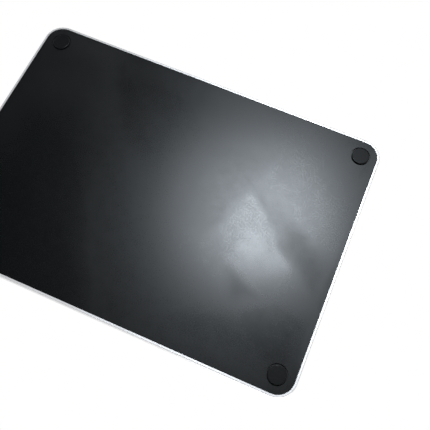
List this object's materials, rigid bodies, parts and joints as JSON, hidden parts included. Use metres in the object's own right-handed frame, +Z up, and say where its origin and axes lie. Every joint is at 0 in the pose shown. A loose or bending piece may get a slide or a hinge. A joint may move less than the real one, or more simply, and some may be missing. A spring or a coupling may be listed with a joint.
{
  "type": "trackpad",
  "caption": "Slim wedge-shaped wireless trackpad: black glass touch surface on flexures in an aluminium body, black bottom cover, rubber feet, rear charging socket and power slider.",
  "frame": {"origin": "under the middle of the body, on the plane that the four feet stand on", "axes": "+X to the user's right, +Y towards the thick rear edge with the socket and the power slider, +Z up"},
  "size_m": [0.16, 0.115, 0.0109],
  "materials": {
    "aluminium_body": "bead-blasted, anodised silver",
    "cover_plastic": "satin moulded",
    "foot_rubber": "matte",
    "glue_film": "pressure-sensitive film",
    "black_glass": "etched, back-painted black",
    "circuit_board": "solder mask",
    "chip_plastic": "moulded",
    "connector_plastic": "moulded",
    "port_plastic": "moulded",
    "steel_sheet": "pressed sheet",
    "spring_steel": "cold rolled",
    "screw_steel": "plated",
    "core_steel": "laminated, varnished",
    "copper_winding": "enamelled wire",
    "gold_contact": "gold plated",
    "ribbon_film": "polyimide film",
    "gauge_film": "polyimide film",
    "pad_gel": "soft gel",
    "cell_pouch": "laminated pouch in black film",
    "knob_plastic": "painted to match the body",
    "indicator_green": "printed",
    "port_steel": "drawn, satin",
    "antenna_plastic": "moulded",
    "antenna_copper": "plated foil"
  },
  "bodies": {
    "base": {"antenna_carrier": "antenna_plastic", "antenna_foil": "antenna_copper", "battery_adhesive": "glue_film", "battery_board": "circuit_board", "battery_cell": "cell_pouch", "battery_lead": "ribbon_film", "board_chips": "chip_plastic", "board_connector": "connector_plastic", "board_screws": "screw_steel", "bottom_cover": "cover_plastic", "charge_port_board": "circuit_board", "charge_port_bracket": "steel_sheet", "charge_port_contacts": "gold_contact", "charge_port_screws": "screw_steel", "charge_port_shell": "port_steel", "charge_port_tongue": "port_plastic", "cover_adhesive": "glue_film", "enclosure": "aluminium_body", "flexure_front_left": "spring_steel", "flexure_front_right": "spring_steel", "flexure_rear_left": "spring_steel", "flexure_rear_right": "spring_steel", "flexure_screws": "screw_steel", "foot_adhesive": "glue_film", "foot_front_left": "foot_rubber", "foot_front_right": "foot_rubber", "foot_rear_left": "foot_rubber", "foot_rear_right": "foot_rubber", "haptic_bracket": "steel_sheet", "haptic_coils": "copper_winding", "haptic_core_left": "core_steel", "haptic_core_right": "core_steel", "haptic_screws": "screw_steel", "main_board": "circuit_board", "port_flex": "ribbon_film", "shield_can": "steel_sheet", "strain_gauges": "gauge_film", "switch_board": "circuit_board", "switch_body": "chip_plastic", "switch_flex": "ribbon_film", "switch_indicator": "indicator_green", "switch_screws": "screw_steel", "touch_flex": "ribbon_film"},
    "suspension": {"isolator_pads": "pad_gel"},
    "touch_pad": {"touch_glass": "black_glass", "glass_adhesive": "glue_film", "touch_sensor_board": "circuit_board", "sensor_adhesive": "glue_film", "pad_carrier": "steel_sheet", "touch_chips": "chip_plastic", "touch_connector": "connector_plastic", "armature": "core_steel", "armature_rivets": "screw_steel"},
    "power_slider": {"slider_knob": "knob_plastic", "slider_retainer": "port_plastic", "switch_nub": "port_plastic"}
  },
  "joints": [
    {"name": "pad_press", "type": "slide", "parent": "base", "child": "suspension", "axis": [0, 0.0521, -0.9986], "range_m": [0, 0.00015], "stiffness_N_per_m": 30000, "springref_m": -0.0001, "deforming": ["flexure_front_left", "flexure_front_right", "flexure_rear_left", "flexure_rear_right", "touch_flex"]},
    {"name": "haptic_kick", "type": "slide", "parent": "suspension", "child": "touch_pad", "axis": [1, 0, 0], "range_m": [-0.0001, 0.0001], "stiffness_N_per_m": 60000, "deforming": ["touch_flex"]},
    {"name": "power_slide", "type": "slide", "parent": "base", "child": "power_slider", "axis": [1, 0, 0], "range_m": [0, 0.003]}
  ]
}
